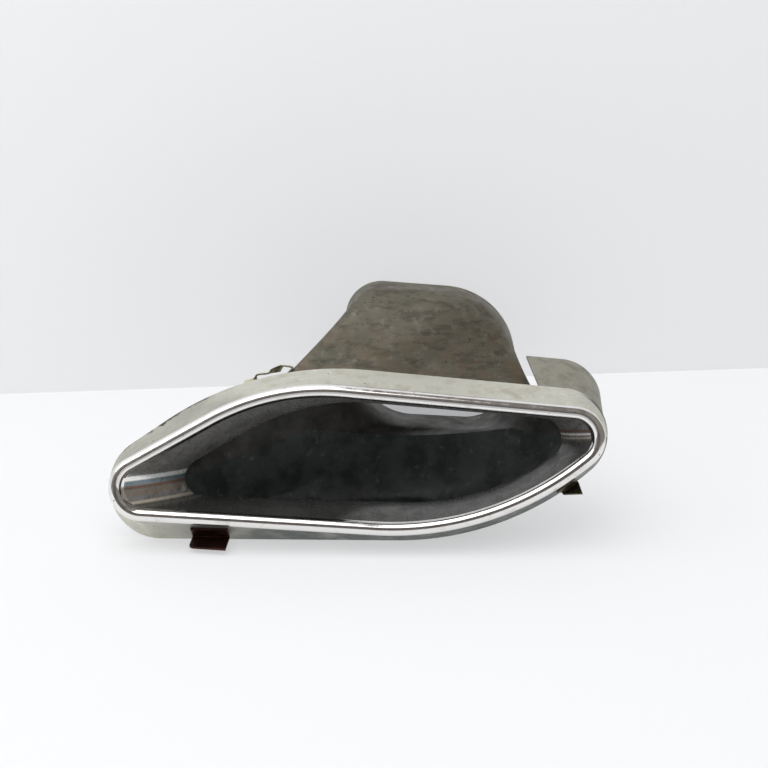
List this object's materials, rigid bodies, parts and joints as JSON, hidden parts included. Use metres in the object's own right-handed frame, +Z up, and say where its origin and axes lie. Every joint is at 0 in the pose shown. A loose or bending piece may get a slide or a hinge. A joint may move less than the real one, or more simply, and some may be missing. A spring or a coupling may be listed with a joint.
{
  "type": "exhaust tip",
  "caption": "Bumper-width exhaust tip with a teardrop mouth, a rolled polished lip and a welded two-shell duct that narrows to an oval inlet.",
  "frame": {"origin": "centre of the bounding box's bottom face, at the height of the table the tip lies on", "axes": "+X along the mouth towards its blunt end, +Y back from the mouth to the inlet, +Z up as it lies"},
  "size_m": [0.2668, 0.1162, 0.1199],
  "materials": {
    "trim": "polished lip and throat, matte skirt",
    "duct_upper": "heat-stained, dull",
    "duct_lower": "sooty, dull",
    "clip_left": "browned spring steel",
    "clip_right": "browned spring steel",
    "wing": "matte",
    "strap": "matte, straw-coloured"
  },
  "bodies": {
    "root": {"trim": "trim", "duct_upper": "duct_upper", "duct_lower": "duct_lower", "clip_left": "clip_left", "clip_right": "clip_right", "wing": "wing", "strap": "strap"}
  },
  "joints": []
}
